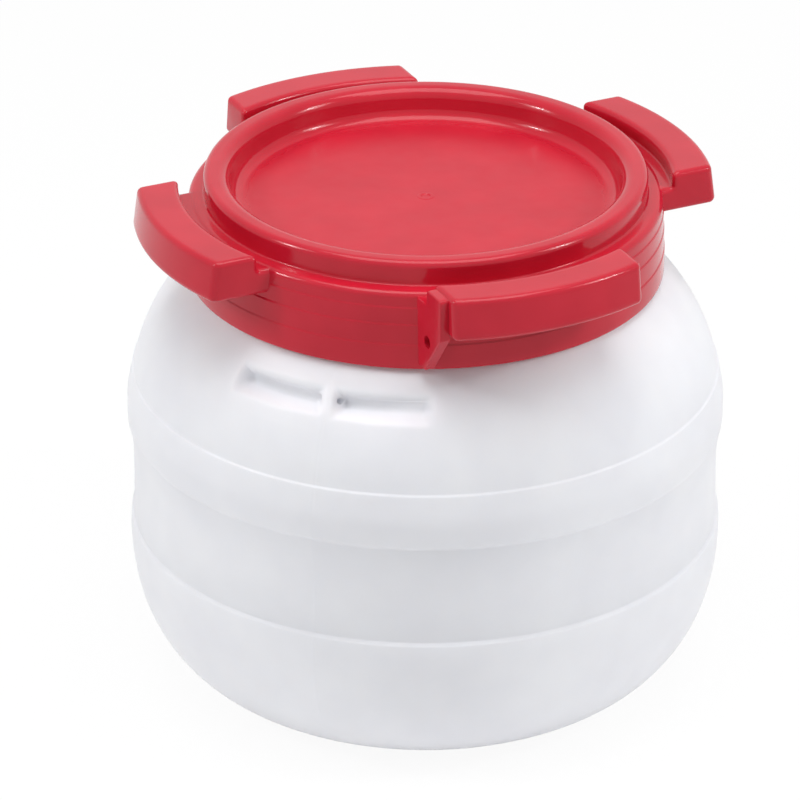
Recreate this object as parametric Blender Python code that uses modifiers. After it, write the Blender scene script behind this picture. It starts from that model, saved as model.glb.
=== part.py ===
"""A 3.6 litre wide-mouth drum: a blow-moulded body with a threaded neck, its
sealing ring, and a screw lid with four grip lugs.

Lengths are in metres and angles in degrees. The drum stands on the floor at
z = 0, and its axis is the Z axis. Angles are counted anticlockwise from +X.
"""

import math

import bmesh
import bpy
import numpy as np
from mathutils import Matrix

# Driving sizes of the body
overall_height = 0.1873
band_radius = 0.1038
panel_inset = 0.0017
lower_band_inset = 0.0001
shoulder_inset = 0.0012
body_wall = 0.0021

# Heights on the body, as shares of the height from the floor to the lid
upper_step_share = 0.7600
middle_step_share = 0.6325
lower_step_share = 0.3906
shoulder_foot_share = 0.6808
side_share = 0.3602
step_depth = 0.0006
band_run = 0.0100
lower_band_run = 0.0150
base_squareness = 2.2

# Base
foot_share = 0.5925
foot_width = 0.0060
base_recess_height = 0.0045
base_recess_slope = 0.0120

# Mouth and neck
mouth_share = 0.67437
lip_wall = 0.0026
neck_step = 0.0024
neck_fillet = 0.0030
edge_round = 0.0008

# Thread
thread_pitch = 0.0070
thread_height = 0.0031
thread_root_width = 0.0034
thread_crest_width = 0.0018
thread_embed = 0.0004
neck_thread_turns = 2.0
lid_thread_turns = 1.75
thread_fade_deg = 40.0
thread_tip_share = 0.12
neck_thread_top_gap = 0.0028

# Clearances between pieces
seat_gap = 0.0003
running_gap = 0.0004
thread_gap = 0.0008
ledge_gap = 0.0005
skirt_gap = 0.0005

# Sealing ring
ring_thickness = 0.0022

# Lid
lid_height = 0.0360
crown_thickness = 0.0026
rim_wall = 0.0029
crown_outer_round = 0.0014
crown_inner_round = 0.0018
plug_wall = 0.0021
plug_taper = 0.0006
recess_draft = 0.0015
recess_depth = 0.0108
recess_fillet = 0.0040
floor_thickness = 0.0024
ledge_drop = 0.0083
ledge_thickness = 0.0026
ledge_fall = 0.0004
skirt_wall = 0.0022
skirt_step = 0.0003
skirt_step_shares = (0.80, 0.58, 0.32)
ledge_corner = 0.0012

# Grip lugs
lug_count = 4
first_lug_deg = 25.2
lug_reach = 0.0172
lug_flare = 0.0020
lug_width_share = 0.35
lug_height = 0.0142
lug_top_drop = 0.0033
lug_gutter = 0.0033
lug_edge_round = 0.0012
lug_wall = 0.0026
lug_rib = 0.0020
lug_cells = 3
lug_skirt_embed = 0.0016

# Seal eye of the lid, a plate on the clockwise end of one lug
seal_lug_index = 3
eye_web_proud = 0.0030
eye_web_embed = 0.0010
eye_web_reach = 0.0152
eye_web_top_drop = 0.0010
eye_web_knee_drop = 0.0012
eye_web_foot_reach = 0.0035
eye_web_foot_lift = 0.0018
eye_hole_radius = 0.0022
eye_hole_reach = 0.0056
eye_hole_drop = 0.0054

# Seal eye of the body: two pockets in the shoulder and the tab between them
tab_deg = 248.6
tab_width_deg = 4.2
pocket_sweep_deg = 20.0
pocket_top_drop = 0.0089
pocket_lip_drop = 0.0148
pocket_depth = 0.0084
pocket_floor_fall = 0.0008
pocket_back_height = 0.0034
pocket_round = 0.0012
tab_hole_radius = 0.0012
tab_hole_inset = 0.0055
tab_hole_lift = 0.0024

# Counts, and one overrun that every cut shares
round_steps = 52
arc_steps = 6
corner_steps = 3
hole_steps = 9
round_segments = 2
cut_overrun = 0.0040
merge_distance = 0.00005
smooth_angle_deg = 35.0

# Heights that follow from the driving sizes
lid_base = overall_height - lid_height
upper_step_height = lid_base * upper_step_share
middle_step_height = lid_base * middle_step_share
lower_step_height = lid_base * lower_step_share
shoulder_foot_height = lid_base * shoulder_foot_share
side_height = lid_base * side_share
pocket_top_height = lid_base - pocket_top_drop
pocket_lip_height = lid_base - pocket_lip_drop
crown_roof = overall_height - crown_thickness
ring_base = crown_roof - seat_gap - ring_thickness
lip_top = ring_base - seat_gap
ledge_top = overall_height - ledge_drop
ledge_underside = ledge_top - ledge_thickness
neck_step_top = ledge_underside - ledge_gap
neck_thread_top = neck_step_top - neck_thread_top_gap
floor_top = overall_height - recess_depth
lug_top = overall_height - lug_top_drop
lug_base = lug_top - lug_height

# Radii that follow from the driving sizes
panel_radius = band_radius - panel_inset
lower_band_radius = band_radius - lower_band_inset
shoulder_radius = band_radius - shoulder_inset
foot_radius = band_radius * foot_share
mouth_radius = band_radius * mouth_share
lip_radius = mouth_radius + lip_wall
neck_radius = lip_radius + neck_step
channel_outer = lip_radius + seat_gap
rim_radius = channel_outer + rim_wall
plug_radius = mouth_radius - running_gap
recess_radius = plug_radius - plug_wall
neck_thread_crest = neck_radius + thread_height
lid_bore = neck_thread_crest + thread_gap
lid_thread_crest = neck_radius + thread_gap
skirt_top_radius = lid_bore + skirt_wall
skirt_base_radius = skirt_top_radius + skirt_step * len(skirt_step_shares)
lug_inner_radius = skirt_top_radius + lug_gutter
lug_top_radius = skirt_top_radius + lug_reach
lug_base_radius = lug_top_radius + lug_flare
lug_half_width = lug_top_radius * lug_width_share

# The shoulder's dome rises to just under the lid's lower edge
under_skirt_share = (lid_bore + edge_round) / shoulder_radius
under_skirt_rise = lid_base - skirt_gap - shoulder_foot_height
shoulder_dome_height = under_skirt_rise / math.sqrt(1.0 - under_skirt_share**2)


def clear_scene():
    """Remove every object of the scene."""
    for item in list(bpy.data.objects):
        bpy.data.objects.remove(item, do_unlink=True)


def new_collection(name):
    """Return a new collection linked to the scene."""
    group = bpy.data.collections.new(name)
    bpy.context.scene.collection.children.link(group)
    return group


def plastic(name, colour, roughness):
    """Return a Principled material of a solid-coloured plastic or rubber."""
    material = bpy.data.materials.new(name)
    material.use_nodes = True
    shader = material.node_tree.nodes["Principled BSDF"]
    shader.inputs["Base Color"].default_value = (*colour, 1.0)
    shader.inputs["Roughness"].default_value = roughness
    shader.inputs["Metallic"].default_value = 0.0
    material.diffuse_color = (*colour, 1.0)
    return material


def place(name, mesh, group):
    """Link a mesh to a collection as an object of that name."""
    item = bpy.data.objects.new(name, mesh)
    group.objects.link(item)
    return item


def as_tool(item):
    """Mark an object as a cutter or a joined shape, left out of the model."""
    item.hide_render = True
    item.display_type = "WIRE"
    return item


def smooth(item):
    """Shade a round piece smooth between its real edges."""
    item.data.shade_smooth()
    item.data.set_sharp_from_angle(angle=math.radians(smooth_angle_deg))


def combine(target, tool, operation):
    """Cut or join one object with another."""
    step = target.modifiers.new(f"{operation.lower()}_{tool.name}", "BOOLEAN")
    step.operation = operation
    step.solver = "EXACT"
    step.object = tool


def arc(centre, radius, start_deg, end_deg, steps):
    """Points of a round corner, from one angle to another."""
    angles = np.radians(np.linspace(start_deg, end_deg, steps + 1))
    return [
        (centre[0] + radius * math.cos(a), centre[1] + radius * math.sin(a))
        for a in angles
    ]


def turned(name, outline, group, closed=False):
    """Turn an outline of (radius, height) points about the Z axis."""
    mesh = bpy.data.meshes.new(name)
    points = [(radius, 0, height) for radius, height in outline]
    edges = [(i, i + 1) for i in range(len(points) - 1)]
    if closed:
        edges.append((len(points) - 1, 0))
    mesh.from_pydata(points, edges, [])
    item = place(name, mesh, group)
    screw = item.modifiers.new("turned", "SCREW")
    screw.steps = round_steps
    screw.render_steps = round_steps
    screw.use_merge_vertices = True
    screw.merge_threshold = merge_distance
    screw.use_smooth_shade = True
    return item


def sector(name, outline, start_deg, sweep_deg, group):
    """Sweep a filled outline of (radius, height) points about the Z axis."""
    shape = bmesh.new()
    turn = math.radians(start_deg)
    corners = [
        shape.verts.new((r * math.cos(turn), r * math.sin(turn), z)) for r, z in outline
    ]
    face = shape.faces.new(corners)
    bmesh.ops.spin(
        shape,
        geom=[*face.verts, *face.edges, face],
        cent=(0, 0, 0),
        axis=(0, 0, 1),
        angle=math.radians(sweep_deg),
        steps=arc_steps,
        use_duplicate=False,
    )
    close_up(shape)
    return bmesh_object(name, shape, group)


def close_up(shape):
    """Fill the open ends of a swept shape and turn its faces outward."""
    open_edges = [edge for edge in shape.edges if edge.is_boundary]
    bmesh.ops.holes_fill(shape, edges=open_edges, sides=0)
    bmesh.ops.recalc_face_normals(shape, faces=shape.faces[:])


def round_edges(item, width):
    """Round the real edges of an object."""
    rounding = item.modifiers.new("rounded", "BEVEL")
    rounding.width = width
    rounding.segments = round_segments
    rounding.limit_method = "ANGLE"
    rounding.angle_limit = math.radians(smooth_angle_deg)


def bmesh_object(name, shape, group):
    """Turn a finished bmesh into an object of the collection."""
    mesh = bpy.data.meshes.new(name)
    shape.to_mesh(mesh)
    shape.free()
    return place(name, mesh, group)


def boxes(name, spans, group):
    """Make one object of cubes, each given by its lowest and highest corner."""
    shape = bmesh.new()
    for low, high in spans:
        cube = bmesh.ops.create_cube(shape, size=1.0)
        size = [b - a for a, b in zip(low, high)]
        middle = [(a + b) / 2 for a, b in zip(low, high)]
        bmesh.ops.scale(shape, vec=size, verts=cube["verts"])
        bmesh.ops.translate(shape, vec=middle, verts=cube["verts"])
    return bmesh_object(name, shape, group)


def settled(item, name):
    """Return the object's evaluated mesh, with all its modifiers applied."""
    graph = bpy.context.evaluated_depsgraph_get()
    mesh = bpy.data.meshes.new_from_object(item.evaluated_get(graph))
    mesh.name = name
    return mesh


def thread_ridge(name, root_radius, outward, start_height, turns, group):
    """A right-handed ridge that fades out at both ends.

    The ridge is a helix that carries a trapezium. Its root sinks a little
    into the wall, and its crest points outward or inward.
    """
    steps = round(round_steps * turns)
    sweep = 360.0 * turns
    way = 1.0 if outward else -1.0
    section = bpy.data.curves.new(f"{name}_section", "CURVE")
    section.dimensions = "2D"
    loop = section.splines.new("POLY")
    corners = [
        (-thread_embed, -thread_root_width / 2),
        (thread_height, -thread_crest_width / 2),
        (thread_height, thread_crest_width / 2),
        (-thread_embed, thread_root_width / 2),
    ]
    loop.points.add(len(corners) - 1)
    for point, (reach, rise) in zip(loop.points, corners):
        point.co = (-way * reach, rise, 0, 1)
    loop.use_cyclic_u = True
    section_item = place(f"{name}_section", section, group)

    path = bpy.data.curves.new(f"{name}_path", "CURVE")
    path.dimensions = "3D"
    path.twist_mode = "Z_UP"
    path.use_fill_caps = True
    path.bevel_mode = "OBJECT"
    path.bevel_object = section_item
    line = path.splines.new("POLY")
    line.points.add(steps)
    for index, point in enumerate(line.points):
        share = index / steps
        turn = math.radians(sweep * share)
        height = start_height + thread_pitch * turns * share
        point.co = (root_radius * math.cos(turn), root_radius * math.sin(turn), height, 1)
        to_end = min(share, 1.0 - share) * sweep / thread_fade_deg
        point.radius = thread_tip_share + (1.0 - thread_tip_share) * min(1.0, to_end)
    path_item = place(f"{name}_path", path, group)

    mesh = settled(path_item, name)
    shape = bmesh.new()
    shape.from_mesh(mesh)
    bmesh.ops.remove_doubles(shape, verts=shape.verts[:], dist=merge_distance)
    bmesh.ops.recalc_face_normals(shape, faces=shape.faces[:])
    shape.to_mesh(mesh)
    shape.free()
    ridge = place(name, mesh, group)
    ridge.matrix_world = path_item.matrix_world
    for spent in (path_item, section_item):
        bpy.data.objects.remove(spent, do_unlink=True)
    return as_tool(ridge)


def shoulder_points(inset, top_radius, steps):
    """Points down the domed shoulder, from a radius at its top to its lowest step.

    The shoulder is part of an ellipse centred on the axis. The inset moves
    the whole ellipse inward, for the inner side of the wall.
    """
    width = shoulder_radius - inset
    height = shoulder_dome_height - inset
    start = math.acos(top_radius / width)
    end = math.asin((upper_step_height - shoulder_foot_height) / height)
    angles = np.linspace(start, end, steps + 1)
    return [
        (width * math.cos(a), shoulder_foot_height + height * math.sin(a)) for a in angles
    ]


def base_points(inset, steps):
    """Points of the rounded base, a squared quarter ellipse from side to foot."""
    width = lower_band_radius - foot_radius - inset
    height = side_height - inset
    power = 2.0 / base_squareness
    return [
        (
            foot_radius + width * abs(math.cos(a)) ** power,
            side_height - height * math.sin(a) ** power,
        )
        for a in np.linspace(0.0, math.pi / 2, steps + 1)
    ]


def body_outline():
    """Outer outline of the body, from the axis at the lip down to the foot."""
    shoulder = shoulder_points(0, neck_radius + neck_fillet, arc_steps)
    fillet_start = (neck_radius, shoulder[0][1] + neck_fillet)
    foot_inner = foot_radius - foot_width
    return [
        (0, lip_top),
        (lip_radius - edge_round, lip_top),
        (lip_radius, lip_top - edge_round),
        (lip_radius, neck_step_top),
        (neck_radius - edge_round, neck_step_top),
        (neck_radius, neck_step_top - edge_round),
        fillet_start,
        *shoulder,
        (shoulder[-1][0] + step_depth, upper_step_height - step_depth),
        (band_radius, upper_step_height - band_run),
        (band_radius, middle_step_height + step_depth),
        (band_radius - step_depth, middle_step_height - step_depth),
        (panel_radius, middle_step_height - band_run),
        (panel_radius, lower_step_height + lower_band_run),
        (lower_band_radius - 2 * step_depth, lower_step_height + step_depth),
        (lower_band_radius - step_depth / 2, lower_step_height - step_depth),
        *base_points(0, arc_steps),
        (foot_inner, 0),
        (foot_inner - edge_round, base_recess_height / 2),
        (foot_inner - base_recess_slope, base_recess_height),
        (0, base_recess_height),
    ]


def cavity_outline():
    """Inner outline of the body, from above the mouth down to the base."""
    neck_inner = neck_radius - body_wall - edge_round
    return [
        (0, lip_top + cut_overrun),
        (mouth_radius, lip_top + cut_overrun),
        (mouth_radius, neck_step_top - lip_wall),
        (neck_inner, neck_step_top - lip_wall - body_wall),
        *shoulder_points(body_wall, neck_inner, arc_steps - 2),
        (band_radius - body_wall, upper_step_height - band_run),
        (band_radius - body_wall, middle_step_height),
        (panel_radius - body_wall, middle_step_height - band_run),
        (panel_radius - body_wall, lower_step_height + lower_band_run),
        *base_points(body_wall, arc_steps - 2),
        (foot_radius - foot_width, body_wall),
        (
            foot_radius - foot_width - base_recess_slope,
            base_recess_height + body_wall,
        ),
        (0, base_recess_height + body_wall),
    ]


def shoulder_radius_at(height):
    """Radius of the shoulder's outer surface at a height."""
    rise = (height - shoulder_foot_height) / shoulder_dome_height
    return shoulder_radius * math.sqrt(1.0 - rise * rise)


def pocket_outline(grow):
    """Cross-section of a seal pocket: an undercut scoop that opens outward."""
    top_radius = shoulder_radius_at(pocket_top_height)
    lip_radius_here = shoulder_radius_at(pocket_lip_height)
    back_radius = lip_radius_here - pocket_depth - grow
    floor = pocket_lip_height + pocket_floor_fall - grow
    reach = lip_radius_here + cut_overrun
    rise = (pocket_top_height - floor - pocket_back_height) / (top_radius - back_radius)
    return [
        (back_radius, floor),
        (reach, pocket_lip_height - grow),
        (reach, pocket_top_height + grow + rise * (reach - top_radius)),
        (top_radius, pocket_top_height + grow),
        (back_radius, floor + pocket_back_height + grow),
    ]


def make_body(group, tools, material):
    """The blow-moulded body, with its threaded neck and seal eye."""
    body = turned("drum_body", body_outline(), group)
    cavity = as_tool(turned("cavity", cavity_outline(), tools))

    span = tab_width_deg + 2 * pocket_sweep_deg
    grow_deg = math.degrees(body_wall / mouth_radius)
    first_deg = tab_deg - span / 2
    liner = sector(
        "pocket_liner",
        pocket_outline(body_wall),
        first_deg - grow_deg,
        span + 2 * grow_deg,
        tools,
    )
    combine(cavity, as_tool(liner), "DIFFERENCE")
    combine(body, cavity, "DIFFERENCE")

    for side, start in (
        ("left", first_deg),
        ("right", tab_deg + tab_width_deg / 2),
    ):
        outline = pocket_outline(0)
        pocket = sector(f"pocket_{side}", outline, start, pocket_sweep_deg, tools)
        round_edges(pocket, pocket_round)
        combine(body, as_tool(pocket), "DIFFERENCE")

    combine(body, tab_hole_cutter(tools), "DIFFERENCE")

    start_height = neck_thread_top - thread_pitch * neck_thread_turns
    ridge = thread_ridge(
        "neck_thread", neck_radius, True, start_height, neck_thread_turns, tools
    )
    combine(body, ridge, "UNION")
    body.data.materials.append(material)
    smooth(body)
    return body


def drill(name, radius, depth, tools):
    """A round cutter for a small hole, lying along the Y axis."""
    shape = bmesh.new()
    bmesh.ops.create_cone(
        shape,
        cap_ends=True,
        segments=hole_steps,
        radius1=radius,
        radius2=radius,
        depth=depth + cut_overrun,
    )
    bmesh.ops.rotate(
        shape, verts=shape.verts[:], matrix=Matrix.Rotation(math.pi / 2, 3, "X")
    )
    return as_tool(bmesh_object(name, shape, tools))


def tab_hole_cutter(tools):
    """The hole for a seal wire, tangential through the tab between the pockets."""
    tab_radius = shoulder_radius_at(pocket_lip_height) - tab_hole_inset
    tab_thickness = tab_radius * math.radians(tab_width_deg)
    hole = drill("tab_hole", tab_hole_radius, tab_thickness, tools)
    turn = math.radians(tab_deg)
    hole.rotation_euler = (0, 0, turn)
    hole.location = (
        tab_radius * math.cos(turn),
        tab_radius * math.sin(turn),
        pocket_lip_height + pocket_floor_fall + tab_hole_lift,
    )
    return hole


def lid_outline():
    """Cross-section of the lid without its lugs, in heights above its lower edge."""
    top = lid_height
    floor = top - recess_depth
    ledge = top - ledge_drop
    fillet_centre = (recess_radius - recess_draft - recess_fillet, floor + recess_fillet)
    inner_centre = (recess_radius + crown_inner_round, top - crown_inner_round)
    outer_centre = (rim_radius - crown_outer_round, top - crown_outer_round)
    points = [
        (0, floor),
        *arc(fillet_centre, recess_fillet, -90.0, 0.0, corner_steps),
        *arc(inner_centre, crown_inner_round, 180.0, 90.0, corner_steps),
        *arc(outer_centre, crown_outer_round, 90.0, 0.0, corner_steps),
        (rim_radius, ledge + edge_round),
        (rim_radius + edge_round, ledge),
        (skirt_top_radius - ledge_corner, ledge - ledge_fall),
        (skirt_top_radius, ledge - ledge_fall - ledge_corner),
    ]
    radius = skirt_top_radius
    for share in skirt_step_shares:
        points.append((radius, ledge * share + skirt_step))
        radius += skirt_step
        points.append((radius, ledge * share - skirt_step))
    points += [
        (radius, edge_round),
        (radius - edge_round, 0),
        (lid_bore + edge_round, 0),
        (lid_bore, edge_round),
        (lid_bore, ledge - ledge_thickness),
        (channel_outer, ledge - ledge_thickness),
        (channel_outer, top - crown_thickness),
        (plug_radius, top - crown_thickness),
        (plug_radius - plug_taper, floor - floor_thickness + edge_round),
        (plug_radius - plug_taper - edge_round, floor - floor_thickness),
        (0, floor - floor_thickness),
    ]
    return points


def lug_mesh(tools):
    """One grip lug, pointing along +X: a curved block, cored out from below."""
    base = lug_base - lid_base
    top = lug_top - lid_base
    gutter = ledge_top - lid_base - ledge_fall
    root = skirt_top_radius - lug_skirt_embed
    half_deg = math.degrees(math.asin((lug_half_width + lug_wall) / root))
    outline = [
        (root, base - cut_overrun),
        (lug_base_radius, base - cut_overrun),
        (lug_base_radius, base),
        (lug_top_radius, top),
        (lug_inner_radius, top),
        (lug_inner_radius, gutter),
        (root, gutter),
    ]
    block = sector("lug_block", outline, -half_deg, 2 * half_deg, tools)
    far = 2 * lug_base_radius
    sides = [((0, -lug_half_width, -far), (far, lug_half_width, far))]
    combine(block, as_tool(boxes("lug_sides", sides, tools)), "INTERSECT")
    round_edges(block, lug_edge_round)
    above = [((0, -far, base), (far, far, far))]
    combine(block, as_tool(boxes("lug_above", above, tools)), "INTERSECT")

    roof = top - lug_wall
    core_outline = [
        (skirt_base_radius, base - cut_overrun),
        (lug_base_radius - lug_wall, base - cut_overrun),
        (lug_base_radius - lug_wall, base),
        (lug_top_radius - lug_wall, roof),
        (lug_inner_radius + lug_wall, roof),
        (lug_inner_radius + lug_wall, gutter - lug_wall),
        (skirt_base_radius, gutter - lug_wall),
    ]
    core = sector("lug_core", core_outline, -half_deg, 2 * half_deg, tools)
    inside = 2 * (lug_half_width - lug_wall)
    cell = (inside - (lug_cells - 1) * lug_rib) / lug_cells
    spans = []
    for index in range(lug_cells):
        low = -inside / 2 + index * (cell + lug_rib)
        spans.append(((0, low, -far), (far, low + cell, far)))
    combine(core, as_tool(boxes("lug_cells", spans, tools)), "INTERSECT")
    combine(block, as_tool(core), "DIFFERENCE")
    return settled(as_tool(block), "lug")


def eye_web_mesh(tools):
    """The plate with the lid's seal eye, on the clockwise end of a lug at +X.

    The plate is flat and stands across the end of the lug. It follows the
    lug's top and its gutter, and tapers to a foot on the skirt.
    """
    outer_side = lug_half_width + eye_web_proud
    inner_side = lug_half_width - eye_web_embed
    middle = (outer_side + inner_side) / 2

    def along(radius):
        return math.sqrt(radius**2 - middle**2)

    root = along(lid_bore + skirt_wall / 2)
    foot = along(skirt_base_radius)
    gutter = along(lug_inner_radius + lug_edge_round)
    top = lug_top - lid_base - eye_web_top_drop
    ledge = ledge_top - lid_base - ledge_fall - eye_web_top_drop
    knee = lug_base - lid_base - eye_web_knee_drop
    outline = [
        (root, ledge),
        (gutter, ledge),
        (gutter, top),
        (foot + eye_web_reach, top),
        (foot + eye_web_reach, knee),
        (foot + eye_web_foot_reach, eye_web_foot_lift),
        (root, eye_web_foot_lift),
    ]
    shape = bmesh.new()
    corners = [shape.verts.new((x, -outer_side, z)) for x, z in outline]
    face = shape.faces.new(corners)
    wide = bmesh.ops.extrude_face_region(shape, geom=[face])
    moved = [v for v in wide["geom"] if isinstance(v, bmesh.types.BMVert)]
    thickness = outer_side - inner_side
    bmesh.ops.translate(shape, vec=(0, thickness, 0), verts=moved)
    close_up(shape)
    web = bmesh_object("eye_web", shape, tools)
    hole = drill("eye_hole", eye_hole_radius, thickness, tools)
    hole.location = (
        foot + eye_hole_reach,
        -middle,
        lug_base - lid_base - eye_hole_drop,
    )
    combine(web, hole, "DIFFERENCE")
    return settled(as_tool(web), "eye_web_plate")


def make_lid(group, tools, axis, material):
    """The screw lid: rim, dished floor, skirt with thread, four lugs, seal eye."""
    lid = turned("screw_lid", lid_outline(), group)
    lid.parent = axis

    half_widths = (thread_root_width + thread_crest_width) / 2
    lean = (thread_root_width - thread_crest_width) / 2
    below_neck_ridge = half_widths - lean * thread_gap / thread_height + seat_gap
    neck_start = neck_thread_top - thread_pitch * neck_thread_turns
    start_height = neck_start - below_neck_ridge - lid_base
    ridge = thread_ridge(
        "lid_thread", lid_bore, False, start_height, lid_thread_turns, tools
    )
    ridge.parent = axis
    combine(lid, ridge, "UNION")

    lug = lug_mesh(tools)
    web = eye_web_mesh(tools)
    for index in range(lug_count):
        additions = [(f"lug_{index + 1}", lug)]
        if index == seal_lug_index:
            additions.append(("lid_seal_eye", web))
        for name, mesh in additions:
            part = as_tool(place(name, mesh, tools))
            part.parent = axis
            part.rotation_euler.z = math.radians(first_lug_deg + 360 * index / lug_count)
            combine(lid, part, "UNION")
    lid.data.materials.append(material)
    smooth(lid)
    return lid


def make_ring(group, axis, material):
    """The flat sealing ring in the channel of the lid."""
    outline = [
        (mouth_radius + edge_round, ring_thickness),
        (lip_radius - edge_round, ring_thickness),
        (lip_radius, ring_thickness - edge_round),
        (lip_radius, edge_round),
        (lip_radius - edge_round, 0),
        (mouth_radius + edge_round, 0),
        (mouth_radius, edge_round),
        (mouth_radius, ring_thickness - edge_round),
    ]
    ring = turned("lid_gasket", outline, group, closed=True)
    ring.parent = axis
    ring.location = (0, 0, ring_base - lid_base)
    ring.data.materials.append(material)
    smooth(ring)
    return ring


def main():
    """Build the drum, its sealing ring and its lid."""
    clear_scene()
    drum = new_collection("wide_mouth_drum")
    tools = new_collection("cutters")

    white = plastic("natural_hdpe", (0.80, 0.81, 0.83), 0.42)
    red = plastic("red_lid_plastic", (0.62, 0.020, 0.045), 0.28)
    rubber = plastic("seal_rubber", (0.035, 0.035, 0.038), 0.65)

    make_body(drum, tools, white)

    axis = bpy.data.objects.new("lid_axis", None)
    axis.location = (0, 0, lid_base)
    drum.objects.link(axis)
    make_lid(drum, tools, axis, red)
    make_ring(drum, axis, rubber)


main()
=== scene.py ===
"""The looks of a 3.6 litre wide-mouth drum with a red screw lid.

The drum is three mouldings: a blow-moulded body of uncoloured polyethylene
with a threaded neck and a seal eye in its shoulder, a glossy injection-moulded
lid with a dished top and four grip lugs, and a flat rubber sealing ring. Each
is one class here, worked out with numpy as surfaces of revolution and rounded
prisms. Lengths are in metres, Z points up and the camera looks along +Y.
"""

import logging
import math
from dataclasses import dataclass
from enum import Enum

import bmesh
import bpy
import numpy as np
from mathutils import Matrix


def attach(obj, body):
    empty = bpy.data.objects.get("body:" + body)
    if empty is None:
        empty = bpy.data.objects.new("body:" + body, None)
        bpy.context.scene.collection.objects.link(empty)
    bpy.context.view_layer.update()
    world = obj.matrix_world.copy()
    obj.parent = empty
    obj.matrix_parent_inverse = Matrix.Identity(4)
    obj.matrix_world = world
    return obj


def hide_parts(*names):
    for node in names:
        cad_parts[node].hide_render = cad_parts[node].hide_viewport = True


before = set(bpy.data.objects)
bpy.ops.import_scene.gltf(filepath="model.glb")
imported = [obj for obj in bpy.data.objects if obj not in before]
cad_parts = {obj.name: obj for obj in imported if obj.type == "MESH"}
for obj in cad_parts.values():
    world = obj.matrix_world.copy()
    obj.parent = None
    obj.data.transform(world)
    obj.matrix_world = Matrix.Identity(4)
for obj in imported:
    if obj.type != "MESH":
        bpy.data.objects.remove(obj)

log = logging.getLogger("drum")

SHARP_EDGE_DEG = 38.0
WHITE = (1.0, 1.0, 1.0, 1.0)


# ---------------------------------------------------------------- outlines


def unit(vectors: np.ndarray) -> np.ndarray:
    """Vectors scaled to length one; a vector of no length stays zero."""
    length = np.linalg.norm(vectors, axis=-1, keepdims=True)
    return vectors / np.where(length < 1e-12, 1.0, length)


def rounded_outline(corners: np.ndarray, closed: bool = False, steps: int = 5) -> np.ndarray:
    """Round every corner of an outline by its own radius.

    The arc of a corner touches both its sides. With half the angle between
    the sides called h, the arc starts radius / tan(h) from the corner, and its
    centre lies radius / sin(h) along the bisector. The arc's points turn
    evenly from its start to its end.

    Args:
        corners: Rows of radius, height and rounding radius.
        closed: Whether the last corner runs on to the first.
        steps: Pieces in each arc.

    Returns:
        Rows of radius and height.
    """
    points, rounding = corners[:, :2], corners[:, 2:3]
    before, after = np.roll(points, 1, axis=0), np.roll(points, -1, axis=0)
    if not closed:
        before[0] = 2 * points[0] - points[1]
        after[-1] = 2 * points[-1] - points[-2]
    back, ahead = unit(before - points), unit(after - points)
    cosine = np.clip((back * ahead).sum(axis=1, keepdims=True), -0.999999, 0.999999)
    half = np.arccos(cosine) / 2
    centre = points + unit(back + ahead) * rounding / np.sin(half)
    start = points + back * rounding / np.tan(half) - centre
    end = points + ahead * rounding / np.tan(half) - centre
    sweep = np.pi - 2 * half
    share = np.linspace(0.0, 1.0, steps + 1)[None, :]
    first = (np.sin((1 - share) * sweep) / np.sin(sweep))[..., None]
    second = (np.sin(share * sweep) / np.sin(sweep))[..., None]
    arcs = centre[:, None] + first * start[:, None] + second * end[:, None]
    line = arcs.reshape(-1, 2)
    apart = np.linalg.norm(line - np.roll(line, 1, axis=0), axis=1) > 1e-7
    apart[0] = apart[0] or not closed
    return line[apart]


def sharp(line: np.ndarray) -> np.ndarray:
    """Points of an outline as corners that are not rounded."""
    return np.column_stack([line, np.zeros(len(line))])


def graded(line: np.ndarray, spacing: float, closed: bool = False) -> np.ndarray:
    """Split the long sides of an outline, more finely towards their ends.

    A side of length L gets n = L / spacing pieces, rounded up, and its point
    number k lies at the share (1 - cos(pi k / n)) / 2 of the side, so that
    smooth shading stays flat right up to a rounded corner.

    Args:
        line: Rows of radius and height.
        spacing: Longest piece, about.
        closed: Whether the last point runs on to the first.

    Returns:
        Rows of radius and height.
    """
    ends = np.vstack([line, line[:1]]) if closed else line
    side = np.diff(ends, axis=0)
    length = np.linalg.norm(side, axis=1)
    least = np.where(length > spacing / 3, 3, 1)
    pieces = np.maximum(least, np.ceil(length / spacing)).astype(int)
    owner = np.repeat(np.arange(len(side)), pieces)
    index = np.arange(pieces.sum()) - np.repeat(np.cumsum(pieces) - pieces, pieces)
    share = (1 - np.cos(np.pi * index / pieces[owner])) / 2
    points = ends[owner] + side[owner] * share[:, None]
    return points if closed else np.vstack([points, ends[-1:]])


def moulded_outline(
    corners: list[tuple[float, float, float]], spacing: float, closed: bool = False, steps: int = 5
) -> np.ndarray:
    """Round the corners of an outline, and then split its long sides."""
    return graded(rounded_outline(np.array(corners, float), closed, steps), spacing, closed)


def evenly(line: np.ndarray, count: int) -> np.ndarray:
    """Points at equal steps along the length of an outline."""
    length = np.linalg.norm(np.diff(line, axis=0), axis=1)
    reach = np.concatenate([[0.0], np.cumsum(length)])
    at = np.linspace(0.0, reach[-1], count)
    return np.column_stack([np.interp(at, reach, line[:, 0]), np.interp(at, reach, line[:, 1])])


def normals_of(line: np.ndarray) -> np.ndarray:
    """Outward unit normals of a closed outline that runs anticlockwise."""
    tangent = unit(np.roll(line, -1, axis=0) - line) + unit(line - np.roll(line, 1, axis=0))
    tangent = unit(tangent)
    return np.column_stack([tangent[:, 1], -tangent[:, 0]])


# ---------------------------------------------------------------- meshes


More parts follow.
